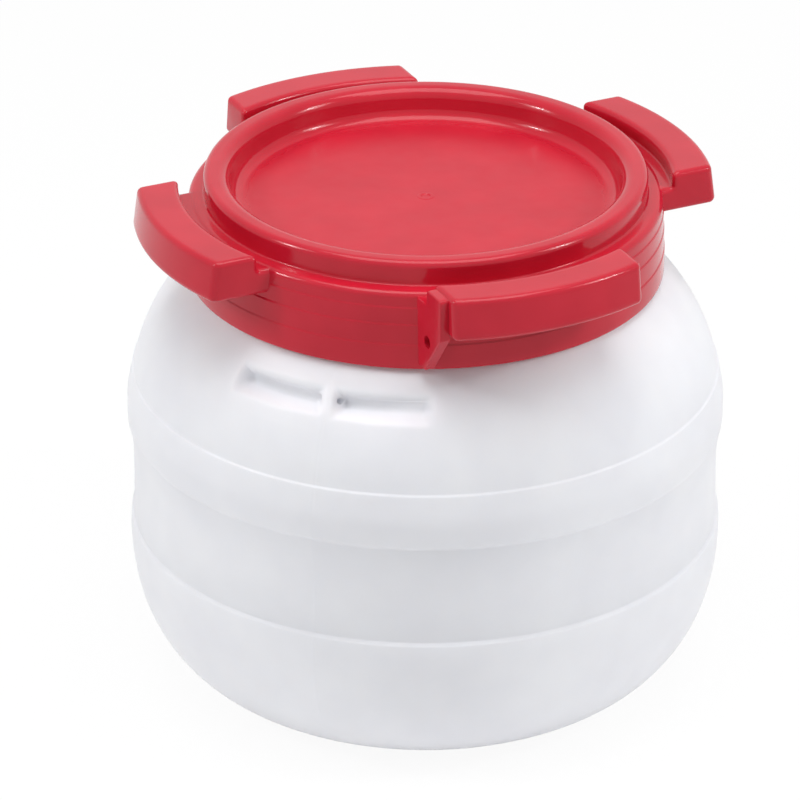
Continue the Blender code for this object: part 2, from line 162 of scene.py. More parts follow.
def grid_quads(rows: int, columns: int, wrap_rows: bool) -> np.ndarray:
    """Corner numbers of the quads of a grid whose columns run round in a ring.

    Args:
        rows: Points along the outline.
        columns: Points round the ring.
        wrap_rows: Whether the last row runs on to the first.

    Returns:
        One row of four corner numbers for each quad.
    """
    row = np.arange(rows if wrap_rows else rows - 1)[:, None]
    column = np.arange(columns)[None, :]
    above, beside = (row + 1) % rows, (column + 1) % columns
    corners = [
        row * columns + column,
        row * columns + beside,
        above * columns + beside,
        above * columns + column,
    ]
    return np.stack(corners, axis=-1).reshape(-1, 4)


def new_mesh(name: str, points: np.ndarray, faces: list[np.ndarray]) -> bpy.types.Mesh:
    """Put whole arrays of points and faces into a mesh.

    Args:
        name: Name of the mesh.
        points: Rows of x, y and z.
        faces: Arrays of corner numbers, each of faces with equally many corners.

    Returns:
        The mesh.
    """
    corners = np.concatenate([block.ravel() for block in faces]).astype(np.int32)
    totals = np.concatenate([np.full(len(block), block.shape[1]) for block in faces])
    starts = np.concatenate([[0], np.cumsum(totals)[:-1]]).astype(np.int32)
    mesh = bpy.data.meshes.new(name)
    mesh.vertices.add(len(points))
    mesh.vertices.foreach_set("co", points.astype(np.float32).ravel())
    mesh.loops.add(len(corners))
    mesh.loops.foreach_set("vertex_index", corners)
    mesh.polygons.add(len(totals))
    mesh.polygons.foreach_set("loop_start", starts)
    mesh.update(calc_edges=True)
    mesh.validate()
    return mesh


def revolve(
    name: str, radii: np.ndarray, heights: np.ndarray, angles: np.ndarray, ring: bool = False
) -> bpy.types.Mesh:
    """Turn an outline about the Z axis.

    The point in row i and column j is (r cos a, r sin a, z), with the radius r
    and height z of row i, which may differ from column to column, and the
    angle a of column j. The outline runs anticlockwise, so the faces point
    outward. An end on the axis becomes one point with a fan of triangles.

    Args:
        name: Name of the mesh.
        radii: Radius of each row and column.
        heights: Height of each row and column.
        angles: Angle of each column, in radians and rising.
        ring: Whether the outline is closed in itself, clear of the axis.

    Returns:
        The mesh.
    """
    columns = len(angles)
    inner = slice(None) if ring else slice(1, -1)
    r, z = radii[inner], heights[inner]
    grid = np.stack([r * np.cos(angles), r * np.sin(angles), z], axis=-1)
    points = grid.reshape(-1, 3)
    faces = [grid_quads(len(r), columns, ring)]
    if not ring:
        count = len(points)
        poles = np.array([[0, 0, heights[0, 0]], [0, 0, heights[-1, 0]]])
        points = np.vstack([points, poles])
        column = np.arange(columns)
        beside = (column + 1) % columns
        last = count - columns
        faces.append(np.column_stack([np.full(columns, count), beside, column]))
        faces.append(np.column_stack([np.full(columns, count + 1), last + column, last + beside]))
    return new_mesh(name, points, faces)


def turned_round(name: str, line: np.ndarray, columns: int, ring: bool = False) -> bpy.types.Mesh:
    """Revolve an outline that is the same all the way round, in even columns."""
    angles = np.linspace(0.0, 2 * np.pi, columns, endpoint=False)
    flat = np.ones_like(angles)
    return revolve(name, line[:, :1] * flat, line[:, 1:] * flat, angles, ring)


def swept(name: str, rings: np.ndarray) -> bpy.types.Mesh:
    """Skin a row of closed sections, and close both ends with a flat face.

    Args:
        name: Name of the mesh.
        rings: Sections by points by x, y and z.

    Returns:
        The mesh, with its faces outward.
    """
    sections, around = rings.shape[:2]
    caps = np.stack([np.arange(around), np.arange(around) + (sections - 1) * around])
    faces = [grid_quads(sections, around, False), caps]
    mesh = new_mesh(name, rings.reshape(-1, 3), faces)
    shape = bmesh.new()
    shape.from_mesh(mesh)
    bmesh.ops.remove_doubles(shape, verts=shape.verts[:], dist=1e-6)
    bmesh.ops.triangulate(shape, faces=[face for face in shape.faces if len(face.verts) > 4])
    bmesh.ops.recalc_face_normals(shape, faces=shape.faces[:])
    shape.to_mesh(mesh)
    shape.free()
    return mesh


def rounded_prism(
    name: str,
    line: np.ndarray,
    low: float,
    high: float,
    rounding: float,
    curved: bool,
    held: float = 0.0,
    edge_points: int = 6,
    side_points: int = 21,
) -> bpy.types.Mesh:
    """A prism across the Y axis, with all the edges of its two ends rounded.

    The outline lies across the prism. Towards an end, over a quarter circle of
    the angle p, the section moves inward by rounding (1 - cos p) along its
    normals and outward along Y by rounding sin p. On a curved prism the first
    coordinate of the outline is a radius R about the Z axis, so that
    x = sqrt(R squared - y squared).

    Args:
        name: Name of the mesh.
        line: Anticlockwise closed outline, as rows of x or radius, and height.
        low: Lowest y.
        high: Highest y.
        rounding: Radius of the rounded edges.
        curved: Whether the prism bends about the Z axis.
        held: Points no further out than this are sunk in a wall and stay.
        edge_points: Sections over each rounded edge.
        side_points: Sections from one rounded edge to the other.

    Returns:
        The mesh.
    """
    turn = np.linspace(0.0, np.pi / 2, edge_points)
    between = (1 - np.cos(np.linspace(0.0, np.pi, side_points)[1:-1])) / 2
    start, end = low + rounding, high - rounding
    reach, curl = rounding * np.sin(turn), 1 - np.cos(turn)
    across = np.concatenate([start - reach[::-1], start + (end - start) * between, end + reach])
    inset = rounding * np.concatenate([curl[::-1], 0 * between, curl])
    normals = normals_of(line) * (line[:, :1] > held + 1e-6)
    section = line[None] - inset[:, None, None] * normals[None]
    y = np.broadcast_to(across[:, None], section.shape[:2])
    x = np.sqrt(section[..., 0] ** 2 - y**2) if curved else section[..., 0]
    return swept(name, np.stack([x, y, section[..., 1]], axis=-1))


def round_bar(
    name: str,
    centre: tuple[float, float, float],
    radius: float,
    length: float,
    turn: float,
    around: int = 28,
) -> bpy.types.Mesh:
    """A round bar through a point, level and square to the direction turn.

    Args:
        name: Name of the mesh.
        centre: Middle of the bar.
        radius: Radius of the bar.
        length: Length of the bar.
        turn: Angle from +X to the normal of the bar, in radians.
        around: Points round the bar.

    Returns:
        The mesh.
    """
    angle = np.linspace(0.0, 2 * np.pi, around, endpoint=False)
    out = np.array([math.cos(turn), math.sin(turn), 0.0])
    along = np.array([-math.sin(turn), math.cos(turn), 0.0])
    up = np.array([0.0, 0.0, 1.0])
    circle = radius * (np.cos(angle)[:, None] * out + np.sin(angle)[:, None] * up)
    reach = np.array([-0.5, 0.5])[:, None, None] * length * along
    return swept(name, np.array(centre) + circle[None] + reach)


@dataclass(frozen=True)
class ThreadRidge:
    """A right-handed screw thread ridge with a rounded trapezium section.

    Attributes:
        pitch: Rise in one turn.
        height: Height of the ridge over its wall.
        root_width: Width at the wall.
        crest_width: Width at the crest.
        embed: How far the root sinks into the wall.
        crest_round: Rounding of the crest's corners.
        fade_deg: Angle over which an end grows to the full section.
        tip_share: Size of the section at its very end.
        sections_per_turn: Sections in one turn.
    """

    pitch: float = 0.0070
    height: float = 0.0031
    root_width: float = 0.0034
    crest_width: float = 0.0018
    embed: float = 0.0004
    crest_round: float = 0.0006
    fade_deg: float = 40.0
    tip_share: float = 0.12
    sections_per_turn: int = 150

    def mesh(
        self, name: str, root_radius: float, outward: bool, start: float, turns: float
    ) -> bpy.types.Mesh:
        """Carry the section along a helix.

        At the share s of the way the angle is 2 pi turns s and the height is
        start + pitch turns s. Near both ends the section shrinks with the
        angle left to the end.

        Args:
            name: Name of the mesh.
            root_radius: Radius of the wall that carries the ridge.
            outward: Whether the crest points away from the axis.
            start: Height of the lower end.
            turns: Number of turns.

        Returns:
            The mesh.
        """
        rounding = self.crest_round
        corners = np.array(
            [
                (-self.embed, -self.root_width / 2, 0.0),
                (self.height, -self.crest_width / 2, rounding),
                (self.height, self.crest_width / 2, rounding),
                (-self.embed, self.root_width / 2, 0.0),
            ]
        )
        section = rounded_outline(corners, closed=True, steps=4)
        share = np.linspace(0.0, 1.0, round(self.sections_per_turn * turns))[:, None]
        left = np.minimum(share, 1 - share) * 360.0 * turns / self.fade_deg
        size = self.tip_share + (1 - self.tip_share) * np.minimum(1.0, left)
        turn = 2 * np.pi * turns * share
        way = 1.0 if outward else -1.0
        radius = root_radius + way * size * section[None, :, 0]
        height = start + self.pitch * turns * share + size * section[None, :, 1]
        rings = np.stack([radius * np.cos(turn), radius * np.sin(turn), height], axis=-1)
        return swept(name, rings)


class Joining(Enum):
    """How one solid changes another."""

    ADD = "UNION"
    CUT = "DIFFERENCE"


def as_object(name: str, mesh: bpy.types.Mesh) -> bpy.types.Object:
    """Link a mesh to the scene as an object at the origin."""
    item = bpy.data.objects.new(name, mesh)
    bpy.context.scene.collection.objects.link(item)
    return item


def joined(name: str, meshes: list[bpy.types.Mesh]) -> bpy.types.Mesh:
    """One mesh of several that don't touch each other."""
    shape = bmesh.new()
    for mesh in meshes:
        shape.from_mesh(mesh)
    whole = bpy.data.meshes.new(name)
    shape.to_mesh(whole)
    shape.free()
    return whole


def combine(base: bpy.types.Mesh, tool: bpy.types.Mesh, joining: Joining) -> bpy.types.Mesh:
    """Add a solid to another or cut it out, with an exact Boolean.

    Args:
        base: The solid that is changed.
        tool: The solid that is added or cut out.
        joining: Which of the two.

    Returns:
        The new solid.
    """
    holder, cutter = as_object("holder", base), as_object("cutter", tool)
    step = holder.modifiers.new("joining", "BOOLEAN")
    step.operation, step.solver, step.object = joining.value, "EXACT", cutter
    graph = bpy.context.evaluated_depsgraph_get()
    result = bpy.data.meshes.new_from_object(holder.evaluated_get(graph))
    result.name = base.name
    for item in (holder, cutter):
        bpy.data.objects.remove(item, do_unlink=True)
    return result


def turned_copy(mesh: bpy.types.Mesh, angle_deg: float) -> bpy.types.Mesh:
    """A copy of a mesh, turned about the Z axis."""
    copy = mesh.copy()
    copy.transform(Matrix.Rotation(math.radians(angle_deg), 4, "Z"))
    return copy


def finished(
    name: str, mesh: bpy.types.Mesh, material: bpy.types.Material, body: str, node: str
) -> bpy.types.Object:
    """Dress a mesh and put it in the place of its CAD node.

    Args:
        name: Name of the piece.
        mesh: Its shape.
        material: Its finish.
        body: The body that it rides on.
        node: The CAD node that it replaces.

    Returns:
        The piece.
    """
    mesh.materials.clear()
    mesh.materials.append(material)
    mesh.polygons.foreach_set("material_index", np.zeros(len(mesh.polygons), np.int32))
    mesh.shade_smooth()
    mesh.set_sharp_from_angle(angle=math.radians(SHARP_EDGE_DEG))
    piece = as_object(name, mesh)
    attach(piece, body)
    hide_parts(node)
    mesh.calc_loop_triangles()
    log.info("%s: %d triangles, for %s on %s", name, len(mesh.loop_triangles), node, body)
    return piece


# ---------------------------------------------------------------- finishes


def linear(hex_colour: str) -> tuple[float, float, float, float]:
    """Turn an sRGB hex colour such as C8202E into linear RGBA.

    A value v up to 0.04045 becomes v / 12.92, and a higher one becomes
    ((v + 0.055) / 1.055) to the power 2.4.
    """
    value = np.array([int(hex_colour[i : i + 2], 16) for i in (0, 2, 4)]) / 255
    light = np.where(value <= 0.04045, value / 12.92, ((value + 0.055) / 1.055) ** 2.4)
    return (*(float(v) for v in light), 1.0)


def add_node(
    tree: bpy.types.NodeTree,
    kind: str,
    inputs: dict[str | int, object] | None = None,
    **settings: object,
) -> bpy.types.Node:
    """Add a shader node with its settings, values and links.

    Args:
        tree: The node tree.
        kind: Blender's name of the node type.
        inputs: A value or an output socket for each named or numbered input.
        **settings: Properties of the node.

    Returns:
        The node.
    """
    made = tree.nodes.new(kind)
    for name, value in settings.items():
        setattr(made, name, value)
    for key, value in (inputs or {}).items():
        if isinstance(value, bpy.types.NodeSocket):
            tree.links.new(value, made.inputs[key])
        else:
            made.inputs[key].default_value = value
    return made


def blank_material(name: str) -> tuple[bpy.types.Material, bpy.types.NodeTree, bpy.types.Node]:
    """A new material with its emptied node tree and its output node."""
    material = bpy.data.materials.new(name)
    material.use_nodes = True
    tree = material.node_tree
    tree.nodes.clear()
    return material, tree, add_node(tree, "ShaderNodeOutputMaterial")


def blotches(
    tree: bpy.types.NodeTree, size: tuple[float, float, float], detail: float = 2.0
) -> bpy.types.NodeSocket:
    """Noise between 0 and 1 whose blotches have a real size along X, Y and Z.

    Args:
        tree: The node tree.
        size: Size of a blotch in metres along each axis.
        detail: Octaves of finer noise on top.

    Returns:
        The noise value.
    """
    place = add_node(tree, "ShaderNodeTexCoord").outputs["Object"]
    scaled = add_node(
        tree, "ShaderNodeMapping", {"Vector": place, "Scale": tuple(1.0 / s for s in size)}
    )
    noise = add_node(
        tree, "ShaderNodeTexNoise", {"Vector": scaled.outputs[0], "Scale": 1.0, "Detail": detail}
    )
    return noise.outputs[0]


def mapped(
    tree: bpy.types.NodeTree,
    value: bpy.types.NodeSocket,
    before: tuple[float, float],
    after: tuple[float, float],
) -> bpy.types.NodeSocket:
    """Carry a value from one range over to another, held to its ends."""
    spread = {
        "Value": value,
        "From Min": before[0],
        "From Max": before[1],
        "To Min": after[0],
        "To Max": after[1],
    }
    return add_node(tree, "ShaderNodeMapRange", spread).outputs[0]


def ranged(
    tree: bpy.types.NodeTree, value: bpy.types.NodeSocket, low: float, high: float
) -> bpy.types.NodeSocket:
    """Spread the middle of a noise value, from 0.3 to 0.7, over a range."""
    return mapped(tree, value, (0.3, 0.7), (low, high))


def blended(
    tree: bpy.types.NodeTree, amount: bpy.types.NodeSocket, first: str, second: str
) -> bpy.types.NodeSocket:
    """A colour between two hex colours: the first at 0, and the second at 1."""
    inputs = {0: amount, 6: linear(first), 7: linear(second)}
    return add_node(tree, "ShaderNodeMix", inputs, data_type="RGBA").outputs[2]


def bumped(
    tree: bpy.types.NodeTree,
    height: bpy.types.NodeSocket,
    distance: float,
    strength: float = 0.5,
    over: bpy.types.NodeSocket | None = None,
) -> bpy.types.NodeSocket:
    """The surface's direction with a fine relief on it.

    Args:
        tree: The node tree.
        height: Relief from 0 to 1.
        distance: Height of the relief in metres.
        strength: Share of the relief that shows.
        over: The direction under the relief, if it isn't the mesh's own.

    Returns:
        The direction.
    """
    inputs = {"Height": height, "Distance": distance, "Strength": strength}
    if over is not None:
        inputs["Normal"] = over
    return add_node(tree, "ShaderNodeBump", inputs).outputs[0]


def coat(tree: bpy.types.NodeTree, output: bpy.types.Node, inputs: dict[str, object]) -> None:
    """End a material with a Principled shader that has these inputs."""
    shader = add_node(tree, "ShaderNodeBsdfPrincipled", inputs)
    tree.links.new(shader.outputs[0], output.inputs[0])


@dataclass(frozen=True)
class NaturalPolyethylene:
    """Uncoloured high-density polyethylene, blow-moulded in a blasted mould.

    The plastic is milky: light enters it, scatters and comes out near by, so
    shadows are soft and edges glow a little. The blasted mould leaves a satin
    skin. The wall's thickness wanders by some tenths of a millimetre over a
    few centimetres, and the parison leaves faint upright die lines.
    """

    thin: str = "F3F3F8"
    thick: str = "ECECF2"
    roughness: tuple[float, float] = (0.34, 0.44)
    ior: float = 1.54
    mirror_level: float = 0.20
    scatter: float = 0.50
    scatter_depth: float = 0.0060
    cloud_size: float = 0.030
    scatter_tint: tuple[float, float, float] = (1.0, 0.92, 0.86)
    die_line_size: float = 0.0028
    die_line_length: float = 0.09
    die_line_height: float = 0.00004
    grain_size: float = 0.0009
    grain_height: float = 0.00003

    def material(self) -> bpy.types.Material:
        """Build the node material.

        Returns:
            The material, on Object coordinates.
        """
        material, tree, output = blank_material("natural_hdpe_blow_moulded")
        cloud = ranged(tree, blotches(tree, (self.cloud_size,) * 3), 0.0, 1.0)
        # Blasted skin: the real grit is 0.2 mm, drawn coarser so that it shows.
        grain = blotches(tree, (self.grain_size,) * 3, 3.0)
        lines = blotches(tree, (self.die_line_size, self.die_line_size, self.die_line_length), 1.0)
        waves = bumped(tree, lines, self.die_line_height)
        coat(
            tree,
            output,
            {
                "Base Color": blended(tree, cloud, self.thin, self.thick),
                "Roughness": ranged(tree, grain, *self.roughness),
                "IOR": self.ior,
                "Specular IOR Level": self.mirror_level,
                "Subsurface Weight": self.scatter,
                "Subsurface Radius": self.scatter_tint,
                "Subsurface Scale": self.scatter_depth,
                "Normal": bumped(tree, grain, self.grain_height, over=waves),
            },
        )
        return material


@dataclass(frozen=True)
class GlossyPolypropylene:
    """Red polypropylene, injection-moulded against polished steel.

    The steel leaves a gloss that mirrors the lamps with slightly soft edges.
    Shrinkage leaves a very faint orange peel, and the pigment runs a little
    darker and lighter along the flow. Handling adds a haze of fine scuffs,
    which only the roughness shows. The dish is satin: its roughness rises by
    dish_haze inside the dish's radius.
    """

    deep: str = "B9192D"
    bright: str = "C31E32"
    roughness: tuple[float, float] = (0.10, 0.16)
    ior: float = 1.50
    mirror_level: float = 0.28
    scatter: float = 0.08
    scatter_depth: float = 0.0015
    scatter_tint: tuple[float, float, float] = (1.0, 0.10, 0.06)
    flow_size: float = 0.022
    peel_size: float = 0.0024
    peel_height: float = 0.00002
    peel_strength: float = 0.4
    scuff_size: float = 0.0060
    dish_radius: float = 0.0655
    dish_blend: float = 0.0060
    dish_haze: float = 0.20

    def haze(self, tree: bpy.types.NodeTree) -> bpy.types.NodeSocket:
        """Extra roughness of the dish, by the distance from the axis."""
        place = add_node(tree, "ShaderNodeTexCoord").outputs["Object"]
        across = {0: place, 1: (1.0, 1.0, 0.0)}
        flat = add_node(tree, "ShaderNodeVectorMath", across, operation="MULTIPLY")
        reach = add_node(tree, "ShaderNodeVectorMath", {0: flat.outputs[0]}, operation="LENGTH")
        edge = (self.dish_radius - self.dish_blend, self.dish_radius)
        return mapped(tree, reach.outputs["Value"], edge, (self.dish_haze, 0.0))

    def material(self) -> bpy.types.Material:
        """Build the node material.

        Returns:
            The material, on Object coordinates.
        """
        material, tree, output = blank_material("red_polypropylene_injection_moulded")
        flow = ranged(tree, blotches(tree, (self.flow_size,) * 3), 0.0, 1.0)
        peel = blotches(tree, (self.peel_size,) * 3, 1.0)
        scuffs = blotches(tree, (self.scuff_size, self.scuff_size, self.scuff_size / 3), 5.0)
        dull = {0: ranged(tree, scuffs, *self.roughness), 1: self.haze(tree)}
        coat(
            tree,
            output,
            {
                "Base Color": blended(tree, flow, self.deep, self.bright),
                "Roughness": add_node(tree, "ShaderNodeMath", dull, operation="ADD").outputs[0],
                "IOR": self.ior,
                "Specular IOR Level": self.mirror_level,
                "Subsurface Weight": self.scatter,
                "Subsurface Radius": self.scatter_tint,
                "Subsurface Scale": self.scatter_depth,
                "Normal": bumped(tree, peel, self.peel_height, self.peel_strength),
            },
        )
        return material


@dataclass(frozen=True)
class MouldedRubber:
    """Black EPDM rubber, compression-moulded: dull, with a trace of bloom.

    Bloom is the grey wax that comes to the surface in small clouds. It makes
    the rubber lighter and duller there.
    """

    clean: str = "222224"
    bloomed: str = "343437"
    roughness: tuple[float, float] = (0.52, 0.70)
    ior: float = 1.50
    bloom_size: float = 0.0050
    grain_size: float = 0.0006
    grain_height: float = 0.00005

    def material(self) -> bpy.types.Material:
        """Build the node material.

        Returns:
            The material, on Object coordinates.
        """
        material, tree, output = blank_material("epdm_rubber_compression_moulded")
        bloom = ranged(tree, blotches(tree, (self.bloom_size,) * 3, 4.0), 0.0, 1.0)
        grain = blotches(tree, (self.grain_size,) * 3)
        coat(
            tree,
            output,
            {
                "Base Color": blended(tree, bloom, self.clean, self.bloomed),
                "Roughness": ranged(tree, bloom, *self.roughness),
                "IOR": self.ior,
                "Normal": bumped(tree, grain, self.grain_height),
            },
        )
        return material


# ---------------------------------------------------------------- body


@dataclass
class DrumBody:
    """The blow-moulded body: foot, bellied base, stepped bands, domed shoulder.

    Attributes:
        lip_top: Height of the lip, under the sealing ring.
        neck_step_top: Height of the step on the neck, over the thread.
        base_squareness: Exponent of the squared ellipse of the base.
        pocket_sweep_deg: Angle of each of the two pockets beside the tab.
        pocket_soft_deg: Angle over which a pocket's end runs out.
        pocket_far_shares: Depth of each pocket at its second end.
        pocket_span: Lowest and highest height of the rows that hold the pockets.
        side_spacing: Longest piece of the outer outline, about, as in graded.
        columns: Points round the body before the extra ones at the pockets.
    """

    lip_top: float = 0.1819
    neck_step_top: float = 0.1759
    lip_radius: float = 0.0726
    mouth_radius: float = 0.0700
    lip_wall: float = 0.0026
    neck_radius: float = 0.0750
    neck_fillet: float = 0.0030
    neck_inner_round: float = 0.0020
    neck_inner_foot_round: float = 0.0040
    neck_margin: float = 0.002
    inner_neck_margin: float = 0.003
    neck_step_round: float = 0.0005
    edge_round: float = 0.0008
    wall: float = 0.0021
    shoulder_radius: float = 0.1026
    shoulder_foot: float = 0.1030
    dome_height: float = 0.0760
    band_radius: float = 0.1038
    panel_radius: float = 0.1021
    lower_band_radius: float = 0.1037
    upper_step: float = 0.1150
    middle_step: float = 0.0957
    lower_step: float = 0.0591
    step_depth: float = 0.0006
    step_round: float = 0.0010
    band_run: float = 0.0100
    band_round: float = 0.02
    inner_band_round: float = 0.01
    panel_round: float = 0.05
    inner_panel_round: float = 0.02
    lower_band_run: float = 0.0150
    side_height: float = 0.0545
    base_squareness: float = 2.2
    foot_radius: float = 0.0615
    foot_width: float = 0.0060
    recess_height: float = 0.0045
    recess_slope: float = 0.0120
    recess_round: float = 0.006
    recess_foot_round: float = 0.002
    inner_foot_round: float = 0.001
    tab_deg: float = 248.6
    tab_width_deg: float = 4.2
    pocket_sweep_deg: float = 20.0
    pocket_top: float = 0.1424
    pocket_lip: float = 0.1365
    pocket_depth: float = 0.0074
    pocket_fall: float = 0.0008
    pocket_back: float = 0.0034
    pocket_round: float = 0.0016
    pocket_edge: float = 0.0024
    pocket_soft_deg: float = 3.0
    pocket_inner_soft_deg: float = 3.0
    pocket_far_shares: tuple[float, float] = (0.80, 0.45)
    pocket_span: tuple[float, float] = (0.1285, 0.1500)
    hole_radius: float = 0.0012
    hole_inset: float = 0.0055
    hole_lift: float = 0.0024
    hole_run: float = 0.004
    parting_line: float = 0.00008
    parting_width: float = 0.0004
    parting_start: float = 0.02
    thread_top: float = 0.1731
    thread_turns: float = 2.0
    side_spacing: float = 0.0085
    neck_spacing: float = 0.005
    inner_spacing: float = 0.013
    columns: int = 192

    def dome_radius(self, height: np.ndarray | float, inset: float = 0.0) -> np.ndarray:
        """Radius of the shoulder at a height: a quarter ellipse, moved inward by the inset."""
        rise = (height - self.shoulder_foot) / (self.dome_height - inset)
        return (self.shoulder_radius - inset) * np.sqrt(1 - rise**2)

    def dome_level(self, radius: float, inset: float = 0.0) -> float:
        """Height at which the shoulder, moved inward by the inset, has a radius."""
        share = radius / (self.shoulder_radius - inset)
        return self.shoulder_foot + (self.dome_height - inset) * math.sqrt(1 - share**2)

    def dome(self, low: float, high: float, inset: float = 0.0, count: int = 12) -> np.ndarray:
        """Points up the shoulder between two heights, at even angles of its ellipse."""
        tall = self.dome_height - inset
        limits = np.arcsin((np.array([low, high]) - self.shoulder_foot) / tall)
        angle = np.linspace(limits[0], limits[1], count)
        wide = self.shoulder_radius - inset
        return np.column_stack([wide * np.cos(angle), self.shoulder_foot + tall * np.sin(angle)])

    def base(self, inset: float = 0.0, count: int = 34) -> np.ndarray:
        """Points up the rounded base.

        The base is a squared quarter ellipse: its radius grows with cos a to
        the power 2 / squareness, and its height falls with sin a to the same
        power, for a from a right angle to zero.
        """
        angle = np.linspace(np.pi / 2, 0.0, count)
        power = 2.0 / self.base_squareness
        wide = self.lower_band_radius - self.foot_radius - inset
        tall = self.side_height - inset
        radius = self.foot_radius + wide * np.abs(np.cos(angle)) ** power
        return np.column_stack([radius, self.side_height - tall * np.sin(angle) ** power])

    def pocket(self, inset: float, low: float, high: float, count: int) -> np.ndarray:
        """Points up the shoulder through a pocket, between two heights.

        The line follows the dome to the pocket's lip, runs in along its floor,
        up its back, out along its sloping roof until it meets the dome again,
        and on up the dome. The inset gives the inner side of the wall.
        """
        lip, floor = self.pocket_lip - inset, self.pocket_lip + self.pocket_fall - inset
        back = float(self.dome_radius(self.pocket_lip)) - self.pocket_depth - inset
        ceiling = self.pocket_lip + self.pocket_fall + self.pocket_back
        share = np.linspace(0.0, 1.0, 800)
        roof_r = back + share * (float(self.dome_radius(self.pocket_top)) - back)
        roof_z = ceiling + share * (self.pocket_top + inset - ceiling)
        out = np.argmin(np.abs(roof_r - self.dome_radius(roof_z, inset)))
        rounding, edge = self.pocket_round + inset / 2, self.pocket_edge
        pocket = [
            (float(self.dome_radius(lip, inset)), lip, edge),
            (back, floor, rounding),
            (back, ceiling, rounding),
            (roof_r[out], roof_z[out], edge),
        ]
        margin = 2 * edge
        below = self.dome(low, lip - margin, inset)
        above = self.dome(roof_z[out] + margin, high, inset)
        corners = np.vstack([sharp(below), np.array(pocket), sharp(above)])
        return evenly(rounded_outline(corners, steps=8), count)

    def angles(self) -> np.ndarray:
        """Angles of the columns, closer together at the pockets' ends and the parting line."""
        plain = np.linspace(0.0, 360.0, self.columns, endpoint=False)
        ends = self.pocket_ends()
        fine = (ends[:, None] + self.pocket_soft_deg * np.linspace(-0.6, 0.6, 11)[None, :]).ravel()
        seam = np.array([self.tab_deg, self.tab_deg - 180.0])
        close = (seam[:, None] + np.linspace(-0.6, 0.6, 9)[None, :]).ravel()
        every = np.sort(np.concatenate([plain, fine, close]))
        apart = np.concatenate([[True], np.diff(every) > 0.06])
        return np.radians(every[apart])

    def pocket_ends(self) -> np.ndarray:
        """Angles of the four ends of the two pockets, in degrees."""
        half = self.tab_width_deg / 2
        far = half + self.pocket_sweep_deg
        return self.tab_deg + np.array([-far, -half, half, far])

    def pocket_share(self, angles: np.ndarray, ends: np.ndarray, soft_deg: float) -> np.ndarray:
        """How much of a pocket each column has, from 0 outside to 1 inside.

        Each end is a step s that rises smoothly as 3 s squared - 2 s cubed over
        the soft angle, and a pocket is its first step less its second. Each
        pocket grows shallower from its first end to its second.
        """
        degrees = np.degrees(angles)
        step = np.clip((degrees[:, None] - ends[None, :]) / soft_deg + 0.5, 0.0, 1.0)
        smooth = step**2 * (3 - 2 * step)
        share = np.zeros(len(degrees))
        for first, far in zip(range(0, len(ends), 2), self.pocket_far_shares):
            fading = np.interp(degrees, ends[first : first + 2], [1.0, far])
            share += (smooth[:, first] - smooth[:, first + 1]) * fading
        return share

    def lower_outline(self, join: float) -> np.ndarray:
        """Outer outline from the middle of the base up to a height on the shoulder."""
        foot_inner = self.foot_radius - self.foot_width
        step, rounding = self.step_depth, self.step_round
        dome = self.dome(self.upper_step, join, count=10)
        corners = [
            (0, self.recess_height, 0),
            (foot_inner - self.recess_slope, self.recess_height, self.recess_round),
            (foot_inner - self.edge_round, self.recess_height / 2, self.recess_foot_round),
            (foot_inner, 0, self.edge_round),
            *sharp(self.base()),
            (self.lower_band_radius - step / 2, self.lower_step - step, rounding),
            (self.lower_band_radius - 2 * step, self.lower_step + step, rounding),
            (self.panel_radius, self.lower_step + self.lower_band_run, self.panel_round),
            (self.panel_radius, self.middle_step - self.band_run, self.panel_round),
            (self.band_radius - step, self.middle_step - step, rounding),
            (self.band_radius, self.middle_step + step, rounding),
            (self.band_radius, self.upper_step - self.band_run, self.band_round),
            (dome[0, 0] + step, self.upper_step - step, rounding),
            (dome[0, 0], self.upper_step, rounding),
            *sharp(dome[1:]),
        ]
        return moulded_outline(corners, self.side_spacing, steps=4)

    def upper_outline(self, join: float, inner_join: float) -> np.ndarray:
        """Outline from the shoulder over the lip and back down inside the neck."""
        outer_neck = self.dome_level(self.neck_radius)
        inner_neck = self.neck_radius - self.wall - self.edge_round
        inner_foot = self.dome_level(inner_neck, self.wall)
        under = self.neck_step_top - self.lip_wall
        outer = self.dome(join, outer_neck - self.neck_margin, count=9)
        inner = self.dome(inner_join, inner_foot - self.inner_neck_margin, self.wall, count=9)[::-1]
        corners = [
            *sharp(outer),
            (self.neck_radius, outer_neck, self.neck_fillet),
            (self.neck_radius, self.neck_step_top, self.edge_round),
            (self.lip_radius, self.neck_step_top, self.neck_step_round),
            (self.lip_radius, self.lip_top, self.edge_round),
            (self.mouth_radius, self.lip_top, self.edge_round),
            (self.mouth_radius, under, self.neck_inner_round),
            (inner_neck, under - self.wall, self.neck_inner_round),
            (inner_neck, inner_foot, self.neck_inner_foot_round),
            *sharp(inner),
        ]
        return moulded_outline(corners, self.neck_spacing)

    def inner_outline(self, inner_join: float) -> np.ndarray:
        """Inner outline from the shoulder down to the middle of the base."""
        foot_inner = self.foot_radius - self.foot_width
        dome = self.dome(self.upper_step - self.band_run / 2, inner_join, self.wall, count=8)[::-1]
        base = self.base(self.wall, 22)[::-1]
        band, panel = self.band_radius - self.wall, self.panel_radius - self.wall
        corners = [
            *sharp(dome),
            (band, self.upper_step - self.band_run, self.inner_band_round),
            (band, self.middle_step, self.inner_band_round),
            (panel, self.middle_step - self.band_run, self.inner_panel_round),
            (panel, self.lower_step + self.lower_band_run, self.inner_panel_round),
            *sharp(base),
            (foot_inner, self.wall, self.inner_foot_round),
            (foot_inner - self.recess_slope, self.recess_height + self.wall, self.recess_round),
            (0, self.recess_height + self.wall, 0),
        ]
        return moulded_outline(corners, self.inner_spacing, steps=3)

